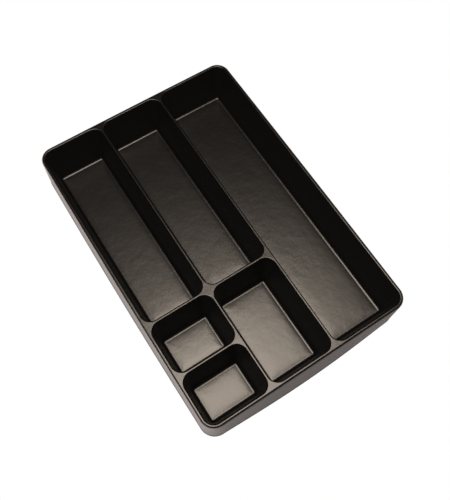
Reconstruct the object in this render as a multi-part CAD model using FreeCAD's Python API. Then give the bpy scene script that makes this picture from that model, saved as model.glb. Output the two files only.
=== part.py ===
import FreeCAD, Part
import math
import os

# Thermoformed desk tray: one plastic sheet drawn down into six open pockets,
# with a narrow flat deck between them and a flared skirt all round.
# Millimetres and degrees. X is the width, Y the length, Z up. The tray stands
# on the undersides of its pocket floors, at Z = 0, with its middle over the origin.

# Outline of the deck, and the sheet that it is formed from
deck_width = 240.0
deck_length = 351.0
deck_corner_radius = 12.0
sheet = 1.8

# Pockets, measured at the deck
pocket_depth = 50.0
pocket_draft = 9.5
floor_corner_radius = 2.5
floor_fillet = 1.5
border_width = 4.3
web_width = 3.6
edge_radius = 1.5

# Lines of the webs, from the left side of the deck and from its front side
first_long_web = 75.0
second_long_web = 150.0
cross_web = 119.0
short_web = 60.0

# Skirt
skirt_height = 48.0
skirt_draft = 3.0
rim_radius = 2.5
foot_lip = 0.5
foot_lip_height = 1.6

# Levels and sides that follow from those sizes
floor_level = sheet
deck_level = floor_level + pocket_depth
skirt_foot = deck_level - skirt_height
left = -deck_width / 2
right = deck_width / 2
front = -deck_length / 2
back = deck_length / 2
overshoot = 5.0
flatness = 1e-4


def corner_centres(sides, radius):
    """Centre of each round corner and the angle at which its arc starts, going round."""
    x_low, y_low, x_high, y_high = sides
    return (
        (x_high - radius, y_low + radius, -90),
        (x_high - radius, y_high - radius, 0),
        (x_low + radius, y_high - radius, 90),
        (x_low + radius, y_low + radius, 180),
    )


def rounded_outline(sides, radius, level):
    """Closed wire of a rectangle with round corners at a level."""
    up = FreeCAD.Vector(0, 0, 1)
    arcs = [
        Part.makeCircle(radius, FreeCAD.Vector(x, y, level), up, angle, angle + 90)
        for x, y, angle in corner_centres(sides, radius)
    ]
    edges = []
    for arc, following in zip(arcs, arcs[1:] + arcs[:1]):
        start = arc.valueAt(arc.LastParameter)
        end = following.valueAt(following.FirstParameter)
        edges += [arc, Part.makeLine(start, end)]
    return Part.Wire(edges)


def grown(sides, amount):
    """The same rectangle with every side moved out by an amount."""
    x_low, y_low, x_high, y_high = sides
    return (x_low - amount, y_low - amount, x_high + amount, y_high + amount)


def drafted_block(deck_sides, deck_radius, draft, low, high):
    """Solid between two levels whose walls lean by the draft.

    The sides and the corner radius are those at the deck. A positive draft
    narrows the block downwards, as in a pocket, and a negative one widens it.
    Its walls are flat and its corners are parts of cones.
    """
    outlines = []
    radii = []
    for level in (low, high):
        growth = (level - deck_level) * math.tan(math.radians(draft))
        radii.append(deck_radius + growth)
        outlines.append(rounded_outline(grown(deck_sides, growth), deck_radius + growth, level))
    faces = [Part.Face(outline) for outline in outlines]
    up = FreeCAD.Vector(0, 0, 1)
    for x, y, angle in corner_centres(deck_sides, deck_radius):
        cone = Part.makeCone(radii[0], radii[1], high - low, FreeCAD.Vector(x, y, low), up, 90)
        cone.rotate(FreeCAD.Vector(x, y, low), up, angle)
        faces += [face for face in cone.Faces if isinstance(face.Surface, Part.Cone)]
    for lower, upper in zip(outlines[0].Edges, outlines[1].Edges):
        if isinstance(lower.Curve, Part.Line):
            corners = [vertex.Point for vertex in lower.Vertexes + upper.Vertexes[::-1]]
            faces.append(Part.Face(Part.makePolygon(corners + corners[:1])))
    shell = Part.makeShell(faces)
    shell.sewShape()
    return Part.makeSolid(shell)


def is_level(shape, level):
    """Whether an edge or a face lies flat at a level."""
    box = shape.BoundBox
    return abs(box.ZMin - level) < flatness and abs(box.ZMax - level) < flatness


def edges_at(solid, level):
    """Edges that lie flat at a level."""
    return [edge for edge in solid.Edges if is_level(edge, level)]


def wall_offset(draft):
    """Sideways distance between the two faces of a wall that leans by the draft."""
    return sheet / math.cos(math.radians(draft))


def pocket_sides():
    """Deck outline of each pocket: the sides between borders and webs."""
    half_web = web_width / 2
    west = left + border_width
    east = right - border_width
    south = front + border_width
    north = back - border_width
    web_a = left + first_long_web
    web_b = left + second_long_web
    cross = front + cross_web
    short = front + short_web
    return (
        (west, cross + half_web, web_a - half_web, north),
        (web_a + half_web, cross + half_web, web_b - half_web, north),
        (web_b + half_web, south, east, north),
        (web_a + half_web, south, web_b - half_web, cross - half_web),
        (west, short + half_web, web_a - half_web, cross - half_web),
        (west, south, web_a - half_web, short - half_web),
    )


def pocket_radius():
    """Corner radius of a pocket at the deck: the floor's, opened out by the draft."""
    return floor_corner_radius + pocket_depth * math.tan(math.radians(pocket_draft))


def pocket_cavity(sides):
    """Space inside a pocket, up past the deck."""
    block = drafted_block(sides, pocket_radius(), pocket_draft, floor_level, deck_level + overshoot)
    return block.makeFillet(floor_fillet, edges_at(block, floor_level))


def pocket_shell(sides):
    """Outside of a pocket: its cavity thickened by the sheet, up to the deck."""
    offset = wall_offset(pocket_draft)
    below = floor_level - sheet
    slope = sheet * math.tan(math.radians(pocket_draft))
    block = drafted_block(
        grown(sides, offset - slope), pocket_radius() + offset - slope, pocket_draft, below, deck_level
    )
    return block.makeFillet(floor_fillet + sheet, edges_at(block, below))


def skirt_block():
    """Outside of the skirt and deck, with the rim rounded over."""
    deck = (left, front, right, back)
    block = drafted_block(deck, deck_corner_radius, -skirt_draft, skirt_foot, deck_level)
    return block.makeFillet(rim_radius, edges_at(block, deck_level))


def foot_lip_block():
    """Narrow band round the foot of the skirt, where the sheet was trimmed."""
    flare = skirt_height * math.tan(math.radians(skirt_draft))
    sides = grown((left, front, right, back), flare + foot_lip)
    outline = rounded_outline(sides, deck_corner_radius + flare + foot_lip, skirt_foot)
    return Part.Face(outline).extrude(FreeCAD.Vector(0, 0, foot_lip_height))


def skirt_hollow():
    """Space under the deck, inside the skirt."""
    offset = wall_offset(skirt_draft)
    deck = grown((left, front, right, back), -offset)
    radius = deck_corner_radius - offset
    return drafted_block(deck, radius, -skirt_draft, skirt_foot - overshoot, deck_level - sheet)


def mouth_edges(body):
    """Edges of the pocket mouths: the inner wires of the flat deck."""
    deck = next(face for face in body.Faces if len(face.Wires) > 1 and is_level(face, deck_level))
    mouths = [wire for wire in deck.Wires if not wire.isSame(deck.OuterWire)]
    return [edge for wire in mouths for edge in wire.Edges]


def formed_tray():
    """The whole tray: skirt and deck, then the pockets drawn down through it."""
    body = skirt_block().fuse(foot_lip_block()).cut(skirt_hollow())
    body = body.fuse([pocket_shell(sides) for sides in pocket_sides()])
    body = body.cut([pocket_cavity(sides) for sides in pocket_sides()]).removeSplitter()
    return body.makeFillet(edge_radius, mouth_edges(body))


os.makedirs("parts", exist_ok=True)
tray = formed_tray()
tray.exportStep("parts/tray.step")
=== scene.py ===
"""Thermoformed desk tray: its formed sheet, its finish and a plain studio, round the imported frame."""

import math

import bmesh
import bpy
from bpy.props import (
    FloatProperty, FloatVectorProperty, IntProperty, PointerProperty, StringProperty)
from mathutils import Matrix, Vector


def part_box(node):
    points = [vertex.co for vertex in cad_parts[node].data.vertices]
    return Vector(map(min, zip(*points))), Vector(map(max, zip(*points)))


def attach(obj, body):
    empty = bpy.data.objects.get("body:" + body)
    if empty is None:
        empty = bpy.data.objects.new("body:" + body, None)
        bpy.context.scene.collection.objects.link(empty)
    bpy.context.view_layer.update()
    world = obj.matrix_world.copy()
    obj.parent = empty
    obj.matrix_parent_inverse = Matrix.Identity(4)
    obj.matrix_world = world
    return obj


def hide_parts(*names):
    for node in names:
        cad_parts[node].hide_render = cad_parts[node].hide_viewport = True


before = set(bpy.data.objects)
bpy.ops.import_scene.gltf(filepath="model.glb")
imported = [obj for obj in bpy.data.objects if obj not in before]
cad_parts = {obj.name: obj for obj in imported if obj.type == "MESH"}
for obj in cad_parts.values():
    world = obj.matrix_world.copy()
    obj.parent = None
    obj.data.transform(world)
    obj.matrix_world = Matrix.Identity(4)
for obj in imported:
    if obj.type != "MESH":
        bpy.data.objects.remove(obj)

bl_info = {
    "name": "Thermoformed Desk Tray",
    "version": (1, 0, 0),
    "blender": (4, 5, 0),
    "location": "View3D > Sidebar > Tray",
    "description": "Builds a thermoformed desk tray and a plain studio round it",
    "category": "Object",
}

NODE = "tray"
LOW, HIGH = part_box(NODE)
MM = 0.001

# Sizes of the plain solid, which place the formed sheet on it.
SOLID_DRAFT = math.radians(9.5)     # lean of its pocket walls
SOLID_FILLET = 1.5 * MM             # radius between its floors and walls
SOLID_CORNER = 2.5 * MM             # corner radius of its floors
SOLID_FLARE = 3.016 * MM            # how far its foot stands out from its deck


# ---------------------------------------------------------------- the frame

LEVEL_RISE = 0.99           # a face whose normal rises more than this is level
TOLERANCE = 0.01 * MM


def flat_patches(mesh, level):
    """Each flat patch of the mesh that faces up at a level, as (x low, y low, x high, y high)."""
    work = bmesh.new()
    work.from_mesh(mesh)
    bmesh.ops.remove_doubles(work, verts=work.verts, dist=TOLERANCE)
    waiting = {
        face for face in work.faces
        if face.normal.z > LEVEL_RISE and abs(face.calc_center_median().z - level) < TOLERANCE
    }
    patches = []
    while waiting:
        found = [waiting.pop()]
        for face in found:
            for edge in face.edges:
                fresh = [other for other in edge.link_faces if other in waiting]
                waiting.difference_update(fresh)
                found.extend(fresh)
        xs = [vert.co.x for face in found for vert in face.verts]
        ys = [vert.co.y for face in found for vert in face.verts]
        patches.append((min(xs), min(ys), max(xs), max(ys)))
    work.free()
    return sorted(patches)


# ---------------------------------------------------------------- settings

class TraySizes(bpy.types.PropertyGroup):
    """Sizes of the formed sheet."""

    sheet: FloatProperty(
        name="Sheet", description="Thickness of the plastic",
        default=1.8 * MM, min=0.5 * MM, unit="LENGTH")
    pocket_draft: FloatProperty(
        name="Pocket draft", description="Lean of the pocket walls",
        default=math.radians(7.5), subtype="ANGLE")
    mouth_radius: FloatProperty(
        name="Mouth radius", description="Rounding of the pocket mouths",
        default=1.5 * MM, unit="LENGTH")
    floor_fillet: FloatProperty(
        name="Floor fillet", description="Radius between floor and wall",
        default=4.0 * MM, unit="LENGTH")
    crown_height: FloatProperty(
        name="Crown height", description="Rise of a pocket floor from its edges to its middle",
        default=0.55 * MM, unit="LENGTH")
    crown_reach: FloatProperty(
        name="Crown reach", description="Distance from the edge over which most of the rise happens",
        default=5.4 * MM, unit="LENGTH")
    deck_corner: FloatProperty(
        name="Deck corner", description="Corner radius of the deck",
        default=15.0 * MM, unit="LENGTH")
    deck_bow: FloatVectorProperty(
        name="Deck bow", description="Outward swell of the long and short sides at the deck",
        size=2, default=(0.5 * MM, 0.1 * MM), unit="LENGTH")
    rim_radius: FloatProperty(
        name="Rim radius", description="Rounding between deck and skirt",
        default=2.5 * MM, unit="LENGTH")
    skirt_height: FloatProperty(
        name="Skirt height", description="From the foot of the skirt to the deck",
        default=48.0 * MM, unit="LENGTH")
    skirt_draft: FloatProperty(
        name="Skirt draft", description="Lean of the skirt at its corners",
        default=math.radians(1.55), subtype="ANGLE")
    foot_bow: FloatVectorProperty(
        name="Foot bow", description="Outward swell of the long and short sides at the foot",
        size=2, default=(1.2 * MM, 3.4 * MM), unit="LENGTH")
    bow_power: FloatProperty(
        name="Bow power", default=1.2, min=1.0,
        description="Shape of the swell: 1 is a parabola, and more is softer at its ends")
    foot_shift_x: FloatVectorProperty(
        name="Foot shift X", description="Shift of the foot's corners, from the front right one round",
        size=4, default=(-1.5 * MM, 0.0, 0.4 * MM, 0.4 * MM), unit="LENGTH")
    foot_shift_y: FloatVectorProperty(
        name="Foot shift Y", description="Shift of the foot's corners, from the front right one round",
        size=4, default=(0.0, 0.0, 0.0, -1.9 * MM), unit="LENGTH")
    foot_lip: FloatProperty(
        name="Foot lip", description="How far the trimmed lip stands out",
        default=0.3 * MM, unit="LENGTH")
    foot_lip_height: FloatProperty(
        name="Foot lip height", description="Height of the trimmed lip",
        default=1.6 * MM, unit="LENGTH")
    crease_radius: FloatProperty(
        name="Crease radius", description="Inner radius of the folds that are seen from below only",
        default=0.3 * MM, unit="LENGTH")
    side_steps: IntProperty(
        name="Side steps", description="Facets along a side of the skirt", default=24, min=2)
    corner_steps: IntProperty(
        name="Corner steps", description="Facets round a quarter corner", default=14, min=4)
    fillet_steps: IntProperty(
        name="Fillet steps", description="Facets across a rounding", default=7, min=2)
    crown_steps: IntProperty(
        name="Crown steps", description="Rings of facets on the rise of a floor", default=9, min=2)


class TrayFinish(bpy.types.PropertyGroup):
    """Colour, gloss and texture of the plastic."""

    black: StringProperty(
        name="Black", description="sRGB colour of the sheet, in hexadecimal", default="0B0A0C")
    roughness: FloatProperty(
        name="Roughness", description="Roughness of the deck and the floors",
        default=0.323, min=0.0, max=1.0, subtype="FACTOR")
    wall_roughness: FloatProperty(
        name="Wall roughness", description="Roughness of the walls, where the sheet is drawn thin",
        default=0.62, min=0.0, max=1.0, subtype="FACTOR")
    ripple: FloatVectorProperty(
        name="Ripple", description="Spacing and height of the slow ripple of the cooled sheet",
        size=2, default=(16.0 * MM, 0.2 * MM), unit="LENGTH")
    draw_lines: FloatVectorProperty(
        name="Draw lines", description="Spacing and height of the lines drawn down the walls",
        size=2, default=(5.0 * MM, 0.06 * MM), unit="LENGTH")
    draw_stretch: FloatProperty(
        name="Draw stretch", description="Length of a draw line, as a multiple of its spacing",
        default=20.0, min=1.0)
    pebble: FloatVectorProperty(
        name="Pebble", description="Spacing and height of the pebble that the mould leaves",
        size=2, default=(1.6 * MM, 0.006 * MM), unit="LENGTH")


class StageSettings(bpy.types.PropertyGroup):
    """The studio and the camera."""

    aim: FloatVectorProperty(
        name="Aim", description="Point that the camera looks at",
        size=3, default=(-1.52 * MM, -21.5 * MM, 26.8 * MM), subtype="TRANSLATION")
    azimuth: FloatProperty(
        name="Azimuth", description="Way that the camera looks, from +Y towards +X",
        default=math.radians(36.45), subtype="ANGLE")
    elevation: FloatProperty(
        name="Elevation", description="How steeply the camera looks down",
        default=math.radians(68.17), subtype="ANGLE")
    roll: FloatProperty(
        name="Roll", description="Turn about the line of sight",
        default=math.radians(3.77), subtype="ANGLE")
    distance: FloatProperty(
        name="Distance", description="From the camera to its aim",
        default=649.75 * MM, unit="LENGTH")
    lens: FloatProperty(
        name="Lens", description="Focal length", default=43.43, unit="CAMERA")
    lamp_place: FloatVectorProperty(
        name="Lamp place", description="Middle of the softbox",
        size=3, default=(-45 * MM, 12 * MM, 1870 * MM), subtype="TRANSLATION")
    lamp_size: FloatVectorProperty(
        name="Lamp size", description="Width and length of the softbox",
        size=2, default=(1270 * MM, 630 * MM), unit="LENGTH")
    lamp_power: FloatProperty(
        name="Lamp power", description="Power of the softbox", default=29.5, unit="POWER")
    lamp_colour: StringProperty(
        name="Lamp colour", description="sRGB colour of the softbox, in hexadecimal", default="FFEFDD")
    room_light: FloatProperty(
        name="Room light", description="Strength of the light from all round", default=0.005)
    table_light: FloatProperty(
        name="Table light", description="Glow of the table as the camera sees it", default=1.0)
    table_colour: StringProperty(
        name="Table colour", description="sRGB colour of the table as the camera sees it",
        default="FFFFFF")
    table_glow: FloatProperty(
        name="Table glow", description="Glow of the table as the tray sees it", default=1.1)
    # Painted light: the table left of the tray glows brighter, to the tray alone, in place of light
    # from the left.
    painted_side_glow: FloatProperty(
        name="Table side glow", description="Glow of the table left of the tray, as the tray sees it",
        default=4.4)
    # Where the painted side glow fades into the table's own glow.
    table_fade: FloatVectorProperty(
        name="Table fade", description="X between which the side glow fades into the table's own",
        size=2, default=(-200 * MM, -100 * MM), unit="LENGTH")
    table_tint: StringProperty(
        name="Table tint", description="sRGB colour of the table as the tray sees it",
        default="FFF2EC")
    table_reach: FloatProperty(
        name="Table reach", description="From the tray to each side of the table",
        default=6000 * MM, unit="LENGTH")


# ---------------------------------------------------------------- the formed sheet

CORNER_LIMIT = 0.9          # largest corner radius, as a share of half the short side
CORNER_GROWTH = 2.0         # gain in a floor's corner radius for each metre inwards
CROWN_SPAN = 3.0            # width of the rings of a crown, in crown reaches
CROWN_CROWDING = 1.5        # 1 spaces those rings evenly, and more crowds them at the edge
CREASE_STEPS = 2            # facets across a fold that is seen from below only
LIP_TOP = 1 / 3             # radius of the foot lip's top edge, as a share of the lip's height
LIP_UNDER = 1 / 6           # radius of its lower edge, as a share of its height
LIP_START = 70              # degrees at which its top edge begins
COVE_END = 245              # degrees at which the cove above the lip runs into it
LIP_STEPS = 4               # facets in the cove and in the top edge
LIP_UNDER_STEPS = 3         # facets in the lower edge


def grown(sides, amount):
    """A rectangle with every side moved out by an amount."""
    x_low, y_low, x_high, y_high = sides
    return (x_low - amount, y_low - amount, x_high + amount, y_high + amount)


def setback(draft):
    """Reach of a rounding between a level face and a wall of this draft, for its radius."""
    return math.tan((math.pi / 2 - draft) / 2)


def arc_stations(centre, radius, start, end, steps, side):
    """Points of an arc in the plane of (outward, up), with the way that the surface faces there.

    Angles are in degrees from outward towards up. Side is 1 where the surface
    faces away from the centre and -1 where it faces it.
    """
    stations = []
    for step in range(steps + 1):
        angle = math.radians(start + (end - start) * step / steps)
        out, up = math.cos(angle), math.sin(angle)
        point = (centre[0] + radius * out, centre[1] + radius * up)
        stations.append((point, (side * out, side * up)))
    return stations


class Bow:
    """How far the skirt's sides swell outwards at a level, and how far its corners are shifted."""

    def __init__(self, sizes, deck):
        self.steps = sizes.side_steps
        self.power = sizes.bow_power
        self.deck = deck
        self.height = sizes.skirt_height
        self.at_deck = sizes.deck_bow
        self.at_foot = sizes.foot_bow
        self.shifts = list(zip(sizes.foot_shift_x, sizes.foot_shift_y))

    def swell(self, is_long_side, level):
        """Swell at the middle of a side at a level, and its growth for each metre down."""
        which = 0 if is_long_side else 1
        growth = (self.at_foot[which] - self.at_deck[which]) / self.height
        return self.at_deck[which] + growth * (self.deck - level), growth

    def shift(self, corner, level):
        """Shift of a corner at a level: none at the deck, and all of it at the foot."""
        share = (self.deck - level) / self.height
        return tuple(share * amount for amount in self.shifts[corner])


class Skin:
    """Collects rings of points with their normals, and the faces between them."""

    def __init__(self, corner_steps, least_curve):
        self.corner_steps = corner_steps
        self.least_curve = least_curve
        self.points = []
        self.normals = []
        self.faces = []

    def ring(self, sides, radius, station, bow=None):
        """Adds one closed ring of points round a rectangle and returns their numbers.

        A bow, if one is given, swells the sides between the corners.
        """
        (offset, level), (normal_out, normal_up) = station
        x_low, y_low, x_high, y_high = grown(sides, offset)
        widest = CORNER_LIMIT * min(x_high - x_low, y_high - y_low) / 2
        curve = min(max(radius + offset, self.least_curve), widest)
        first = len(self.points)
        centres = (
            (x_high - curve, y_low + curve, -90),
            (x_high - curve, y_high - curve, 0),
            (x_low + curve, y_high - curve, 90),
            (x_low + curve, y_low + curve, 180),
        )
        shifts = [bow.shift(corner, level) if bow else (0.0, 0.0) for corner in range(4)]
        for corner, (x, y, begin) in enumerate(centres):
            x += shifts[corner][0]
            y += shifts[corner][1]
            for step in range(self.corner_steps + 1):
                angle = math.radians(begin + 90 * step / self.corner_steps)
                cos, sin = math.cos(angle), math.sin(angle)
                self.points.append((x + curve * cos, y + curve * sin, level))
                self.normals.append((normal_out * cos, normal_out * sin, normal_up))
            if bow:
                x_next, y_next, _ = centres[(corner + 1) % 4]
                x_shift, y_shift = shifts[(corner + 1) % 4]
                turned = math.radians(begin + 90)
                out = Vector((round(math.cos(turned)), round(math.sin(turned)), 0))
                end = Vector((x_next + x_shift, y_next + y_shift, level)) + out * curve
                self.side(Vector(self.points[-1]), end, out, station, bow)
        return list(range(first, len(self.points)))

    def side(self, start, end, out, station, bow):
        """Adds the points of one side that swells outwards between its ends."""
        level = station[0][1]
        normal_out, normal_up = station[1]
        along = (end - start).normalized()
        half = (end - start).length / 2
        amount, spread = bow.swell(abs(out.x) > abs(out.y), level)
        for step in range(1, bow.steps):
            place = 2 * step / bow.steps - 1
            room = 1 - place ** 2
            share = room ** bow.power
            slope = 2 * bow.power * place * room ** (bow.power - 1) * amount / half
            point = start.lerp(end, step / bow.steps) + out * amount * share
            normal = (out + along * slope) * normal_out
            normal.z = normal_up + spread * share * normal_out
            self.points.append(tuple(point))
            self.normals.append(tuple(normal.normalized()))

    def bridge(self, lower, upper):
        """Joins two rings by a band of faces."""
        count = len(lower)
        for here in range(count):
            ahead = (here + 1) % count
            self.faces.append((lower[here], lower[ahead], upper[ahead], upper[here]))

    def band(self, sides, radius, stations, bow=None):
        """Adds the rings of a profile, joined in order, and returns the first and the last."""
        rings = [self.ring(sides, radius, station, bow) for station in stations]
        for lower, upper in zip(rings, rings[1:]):
            self.bridge(lower, upper)
        return rings[0], rings[-1]

    def mesh(self, name, holed):
        """The collected faces as a mesh.

        Each entry of holed lists the rings that bound one flat face with holes.
        """
        work = bmesh.new()
        verts = [work.verts.new(point) for point in self.points]
        for face in self.faces:
            work.faces.new([verts[number] for number in face])
        for rings in holed:
            edges = []
            for ring in rings:
                for here, ahead in zip(ring, ring[1:] + ring[:1]):
                    edges.append(work.edges.get((verts[here], verts[ahead])))
            bmesh.ops.triangle_fill(work, use_beauty=True, edges=edges)
        bmesh.ops.recalc_face_normals(work, faces=work.faces)
        for face in work.faces:
            face.smooth = True
        mesh = bpy.data.meshes.new(name)
        work.to_mesh(mesh)
        work.free()
        mesh.normals_split_custom_set_from_vertices(self.normals)
        return mesh


def pocket_stations(sizes, deck, floor, thickness):
    """Profile of a pocket from its mouth to its floor, from the theoretical edge of the floor.

    Thickness 0 gives the inside, and the sheet's thickness its outside.
    """
    draft = sizes.pocket_draft
    lean = math.degrees(draft)
    top = deck - thickness
    edge = (top - floor) * math.tan(draft) + thickness / math.cos(draft)
    steps = sizes.fillet_steps
    fillet = sizes.floor_fillet
    inset = -setback(draft) * fillet
    if thickness:
        crease = sizes.crease_radius
        fold = (edge + setback(draft) * crease, top - crease)
        stations = arc_stations(fold, crease, 90, 180 - lean, CREASE_STEPS, -1)
        return stations + arc_stations(
            (inset, floor + fillet), fillet + thickness, -lean, -90, steps, 1)
    mouth = sizes.mouth_radius
    fold = (edge + setback(draft) * mouth, top - mouth)
    stations = arc_stations(fold, mouth, 90, 180 - lean, steps, 1)
    tilt = math.degrees(math.atan(sizes.crown_height / sizes.crown_reach))
    low = floor - sizes.crown_height / 2
    return stations + arc_stations((inset, low + fillet), fillet, -lean, -90 - tilt, steps, -1)


def crown_stations(sizes, start):
    """Profile of a floor from the foot of its fillet inwards, each with its distance from there."""
    stations = []
    slope = sizes.crown_height / sizes.crown_reach
    for step in range(1, sizes.crown_steps + 1):
        share = step / sizes.crown_steps
        inwards = sizes.crown_reach * CROWN_SPAN * share ** CROWN_CROWDING
        decay = math.exp(-inwards / sizes.crown_reach)
        rise = sizes.crown_height * (1 - decay)
        tilt = math.atan(slope * decay)
        station = ((start[0] - inwards, start[1] + rise), (math.sin(tilt), math.cos(tilt)))
        stations.append((inwards, station))
    return stations


def skirt_stations(sizes, deck, thickness):
    """Profile of the rim and skirt, from the deck down, from the theoretical edge of the deck."""
    draft = sizes.skirt_draft
    radius = max(sizes.rim_radius - thickness, sizes.crease_radius)
    edge = thickness * math.tan(draft) - thickness / math.cos(draft)
    centre = (edge - setback(draft) * radius, deck - thickness - radius)
    side = 1 if thickness == 0 else -1
    return arc_stations(centre, radius, 90, math.degrees(draft), sizes.fillet_steps, side)


def foot_stations(sizes, deck):
    """Profile round the trimmed foot of the skirt, from its outside to its inside."""
    draft = sizes.skirt_draft
    lean = math.degrees(draft)
    foot = deck - sizes.skirt_height
    flare = sizes.skirt_height * math.tan(draft)
    cove = sizes.foot_lip
    shelf = foot + sizes.foot_lip_height
    outer = flare + sizes.foot_lip
    wall = flare - (sizes.foot_lip_height + cove) * math.tan(draft)
    stations = [((wall, shelf + cove), (math.cos(draft), math.sin(draft)))]
    stations += arc_stations(
        (wall + cove, shelf + cove), cove, 180 + lean, COVE_END, LIP_STEPS, -1)
    upper = sizes.foot_lip_height * LIP_TOP
    stations += arc_stations((outer - upper, shelf - upper), upper, LIP_START, 0, LIP_STEPS, 1)
    lower = sizes.foot_lip_height * LIP_UNDER
    stations += arc_stations((outer - lower, foot + lower), lower, 0, -90, LIP_UNDER_STEPS, 1)
    inner = flare - sizes.sheet / math.cos(draft)
    stations += [((inner, foot), (0, -1)), ((inner, foot), (-math.cos(draft), -math.sin(draft)))]
    return stations


def tray_mesh(sizes):
    """One closed skin: deck, pockets, rim, skirt and the underside of them all."""
    deck = HIGH.z
    floor = LOW.z + sizes.sheet
    # The mouths stay where the solid has them, so walls that stand steeper give wider floors.
    spread = (deck - floor) * (math.tan(SOLID_DRAFT) - math.tan(sizes.pocket_draft))
    growth = setback(SOLID_DRAFT) * SOLID_FILLET + spread
    floors = [grown(patch, growth) for patch in flat_patches(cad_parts[NODE].data, floor)]
    corner = SOLID_CORNER + spread
    outline = grown((LOW.x, LOW.y, HIGH.x, HIGH.y), -SOLID_FLARE)
    bow = Bow(sizes, deck)
    skin = Skin(sizes.corner_steps, sizes.crease_radius)
    holed = []
    rims = []
    for thickness in (0, sizes.sheet):
        mouths = []
        for sides in floors:
            stations = pocket_stations(sizes, deck, floor, thickness)
            mouth, bottom = skin.band(sides, corner, stations)
            if thickness == 0:
                for inwards, station in crown_stations(sizes, stations[-1][0]):
                    ring = skin.ring(sides, corner + CORNER_GROWTH * inwards, station)
                    skin.bridge(bottom, ring)
                    bottom = ring
            skin.faces.append(tuple(bottom))
            mouths.append(mouth)
        stations = skirt_stations(sizes, deck, thickness)
        inner, rim = skin.band(outline, sizes.deck_corner, stations, bow)
        holed.append([inner] + mouths)
        rims.append(rim)
    first, last = skin.band(outline, sizes.deck_corner, foot_stations(sizes, deck), bow)
    skin.bridge(rims[0], first)
    skin.bridge(last, rims[1])
    return skin.mesh("formed_tray", holed)


# ---------------------------------------------------------------- materials

STYRENE_IOR = 1.59
WALL_RISE = 0.2             # a surface whose normal rises less than this is wall
FLAT_RISE = 0.7             # a surface whose normal rises more than this is flat
NOISE_DETAIL = 2.0

# Sockets of a Mix node for colours. Their names stand for other sockets of the node too.
MIX_FIRST = 6
MIX_SECOND = 7
MIX_RESULT = 2


def linear(colour):
    """An sRGB colour, given in hexadecimal, in linear light."""
    channels = []
    for start in (0, 2, 4):
        share = int(colour[start:start + 2], 16) / 255
        channels.append(share / 12.92 if share <= 0.04045 else ((share + 0.055) / 1.055) ** 2.4)
    return (*channels, 1.0)


def new_material(name):
    """A new material, and its node tree with nothing in it."""
    material = bpy.data.materials.new(name)
    material.use_nodes = True
    material.node_tree.nodes.clear()
    return material, material.node_tree


def add_node(tree, kind, settings=None, inputs=None):
    """Adds a node with its settings, its input values and the links into it."""
    node = tree.nodes.new(kind)
    for name, value in (settings or {}).items():
        setattr(node, name, value)
    for name, value in (inputs or {}).items():
        if isinstance(value, bpy.types.NodeSocket):
            tree.links.new(value, node.inputs[name])
        else:
            node.inputs[name].default_value = value
    return node


def relief(tree, place, pattern, below=None):
    """Raises an uneven pattern, given as its spacing and height, over the relief below it."""
    spacing, height = pattern
    noise = add_node(tree, "ShaderNodeTexNoise", inputs={
        "Vector": place, "Scale": 1 / spacing, "Detail": NOISE_DETAIL})
    inputs = {"Strength": 1.0, "Distance": height, "Height": noise.outputs["Fac"]}
    if below is not None:
        inputs["Normal"] = below
    return add_node(tree, "ShaderNodeBump", inputs=inputs).outputs["Normal"]


# Black high-impact polystyrene sheet, vacuum formed. The flats keep the sheet's satin gloss,
# with a slow ripple and the faint pebble of the mould. The walls are drawn thin, which leaves
# them duller, with faint lines drawn down them. The pebble is coarser than the real one, so
# that it shows.
def formed_styrene(finish):
    """Satin black on the flats and duller on the walls."""
    material, tree = new_material("formed_styrene")
    surface = add_node(tree, "ShaderNodeTexCoord")
    place = surface.outputs["Object"]
    drawn = add_node(tree, "ShaderNodeMapping", inputs={
        "Vector": place, "Scale": (1.0, 1.0, 1 / finish.draw_stretch)})
    rippled = relief(tree, place, finish.ripple)
    lined = relief(tree, drawn.outputs["Vector"], finish.draw_lines, rippled)
    pebbled = relief(tree, place, finish.pebble, lined)
    facing = add_node(tree, "ShaderNodeSeparateXYZ", inputs={"Vector": surface.outputs["Normal"]})
    dulled = add_node(tree, "ShaderNodeMapRange", inputs={
        "Value": facing.outputs["Z"], "From Min": WALL_RISE, "From Max": FLAT_RISE,
        "To Min": finish.wall_roughness, "To Max": finish.roughness})
    shader = add_node(tree, "ShaderNodeBsdfPrincipled", inputs={
        "Base Color": linear(finish.black), "Roughness": dulled.outputs["Result"],
        "IOR": STYRENE_IOR, "Normal": pebbled})
    add_node(tree, "ShaderNodeOutputMaterial", inputs={"Surface": shader.outputs["BSDF"]})
    return material


# Opal acrylic sheet, cast, and lit from below: an even white that takes no shadow. The tray
# sees it tinted, and brighter on its left: there a painted glow, seen by the tray alone, stands
# in for light from the left.
def opal_acrylic(stage):
    """Even white to the camera, and a tinted glow to the tray, with a painted glow on its left."""
    material, tree = new_material("opal_acrylic")
    seen = add_node(tree, "ShaderNodeLightPath").outputs["Is Camera Ray"]
    surface = add_node(tree, "ShaderNodeTexCoord")
    place = add_node(tree, "ShaderNodeSeparateXYZ", inputs={"Vector": surface.outputs["Object"]})
    # Painted glow: brighter left of the tray, fading into the table's own, and seen by the tray alone.
    begin, end = stage.table_fade
    painted_side_fade = add_node(tree, "ShaderNodeMapRange", inputs={
        "Value": place.outputs["X"], "From Min": begin, "From Max": end,
        "To Min": stage.painted_side_glow, "To Max": stage.table_glow})
    glow = add_node(tree, "ShaderNodeMapRange", inputs={
        "Value": seen, "To Min": painted_side_fade.outputs["Result"], "To Max": stage.table_light})
    tint = add_node(tree, "ShaderNodeMix", {"data_type": "RGBA"}, {
        "Factor": seen, MIX_FIRST: linear(stage.table_tint), MIX_SECOND: linear(stage.table_colour)})
    shader = add_node(tree, "ShaderNodeEmission", inputs={
        "Color": tint.outputs[MIX_RESULT], "Strength": glow.outputs["Result"]})
    add_node(tree, "ShaderNodeOutputMaterial", inputs={"Surface": shader.outputs["Emission"]})
    return material


# ---------------------------------------------------------------- the studio

FRAME_HEIGHT = 36.0         # height of the camera's frame, in millimetres


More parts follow.
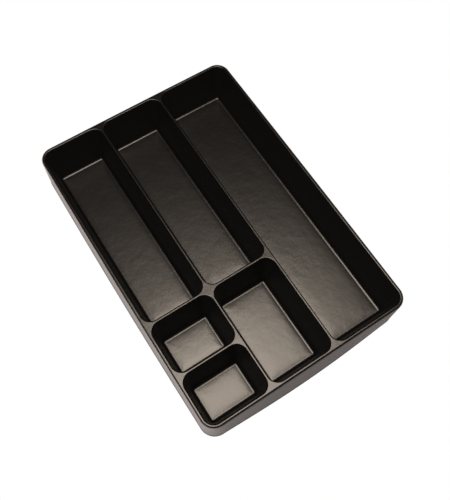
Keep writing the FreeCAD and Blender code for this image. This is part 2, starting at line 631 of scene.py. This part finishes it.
def light_table(stage):
    """A square table, level with the underside of the tray."""
    reach = stage.table_reach
    corners = [(-reach, -reach, 0), (reach, -reach, 0), (reach, reach, 0), (-reach, reach, 0)]
    mesh = bpy.data.meshes.new("light_table")
    mesh.from_pydata(corners, [], [(0, 1, 2, 3)])
    mesh.materials.append(opal_acrylic(stage))
    return bpy.data.objects.new("light_table", mesh)


def softbox(stage):
    """A rectangular lamp that faces the middle of the tray, with its width along X."""
    lamp = bpy.data.lights.new("overhead_softbox", "AREA")
    lamp.shape = "RECTANGLE"
    lamp.size, lamp.size_y = stage.lamp_size
    lamp.energy = stage.lamp_power
    lamp.color = linear(stage.lamp_colour)[:3]
    place = Vector(stage.lamp_place)
    back = place.normalized()
    across = Vector((0, 1, 0)).cross(back).normalized()
    turn = Matrix((across, back.cross(across), back)).transposed()
    carrier = bpy.data.objects.new("overhead_softbox", lamp)
    carrier.matrix_world = Matrix.Translation(place) @ turn.to_4x4()
    return carrier


def room(stage):
    """A dim and even light from all round."""
    world = bpy.data.worlds.new("studio")
    world.use_nodes = True
    sky = world.node_tree.nodes["Background"]
    sky.inputs["Color"].default_value = linear(stage.lamp_colour)
    sky.inputs["Strength"].default_value = stage.room_light
    return world


def aimed_camera(stage):
    """A camera at its distance from its aim, turned by azimuth, elevation and roll."""
    level = math.cos(stage.elevation)
    forward = Vector((
        math.sin(stage.azimuth) * level, math.cos(stage.azimuth) * level, -math.sin(stage.elevation)))
    lens = bpy.data.cameras.new("camera")
    lens.sensor_fit = "VERTICAL"
    lens.sensor_height = FRAME_HEIGHT
    lens.lens = stage.lens
    camera = bpy.data.objects.new("camera", lens)
    place = Vector(stage.aim) - forward * stage.distance
    turn = forward.to_track_quat("-Z", "Y").to_matrix() @ Matrix.Rotation(stage.roll, 3, "Z")
    camera.matrix_world = Matrix.Translation(place) @ turn.to_4x4()
    return camera


# ---------------------------------------------------------------- operators

class TRAY_OT_formed_tray(bpy.types.Operator):
    """Builds the formed sheet and lets it stand for the plain solid"""

    bl_idname = "tray.formed_tray"
    bl_label = "Formed tray"

    def execute(self, context):
        piece = bpy.data.objects.new("formed_tray", tray_mesh(context.scene.tray_sizes))
        context.scene.collection.objects.link(piece)
        piece.data.materials.append(formed_styrene(context.scene.tray_finish))
        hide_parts(NODE)
        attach(piece, "root")
        return {"FINISHED"}


class TRAY_OT_stage(bpy.types.Operator):
    """Adds the lit table, the softbox and the camera"""

    bl_idname = "tray.stage"
    bl_label = "Stage"

    def execute(self, context):
        scene = context.scene
        stage = scene.tray_stage
        table = light_table(stage)
        camera = aimed_camera(stage)
        for item in (table, softbox(stage), camera):
            scene.collection.objects.link(item)
        scene.camera = camera
        scene.world = room(stage)
        scene.view_settings.view_transform = "Standard"
        return {"FINISHED"}


class TRAY_PT_panel(bpy.types.Panel):
    """Lists the tray's operators and settings."""

    bl_idname = "TRAY_PT_panel"
    bl_label = "Desk tray"
    bl_space_type = "VIEW_3D"
    bl_region_type = "UI"
    bl_category = "Tray"

    def draw(self, context):
        for operator in OPERATORS:
            self.layout.operator(operator.bl_idname)
        for group in GROUPS:
            settings = getattr(context.scene, group)
            for name in settings.__annotations__:
                self.layout.prop(settings, name)


OPERATORS = (TRAY_OT_formed_tray, TRAY_OT_stage)
GROUPS = {"tray_sizes": TraySizes, "tray_finish": TrayFinish, "tray_stage": StageSettings}


def register():
    """Adds the tray's classes and its settings to Blender."""
    for cls in (*GROUPS.values(), *OPERATORS, TRAY_PT_panel):
        bpy.utils.register_class(cls)
    for name, group in GROUPS.items():
        setattr(bpy.types.Scene, name, PointerProperty(type=group))


def unregister():
    """Takes the tray's settings and classes out again."""
    for name in GROUPS:
        delattr(bpy.types.Scene, name)
    for cls in (TRAY_PT_panel, *reversed(OPERATORS), *reversed(GROUPS.values())):
        bpy.utils.unregister_class(cls)


def main():
    """Builds the tray and its stage."""
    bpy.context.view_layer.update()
    register()
    bpy.ops.tray.formed_tray()
    bpy.ops.tray.stage()


if __name__ == "__main__":
    main()
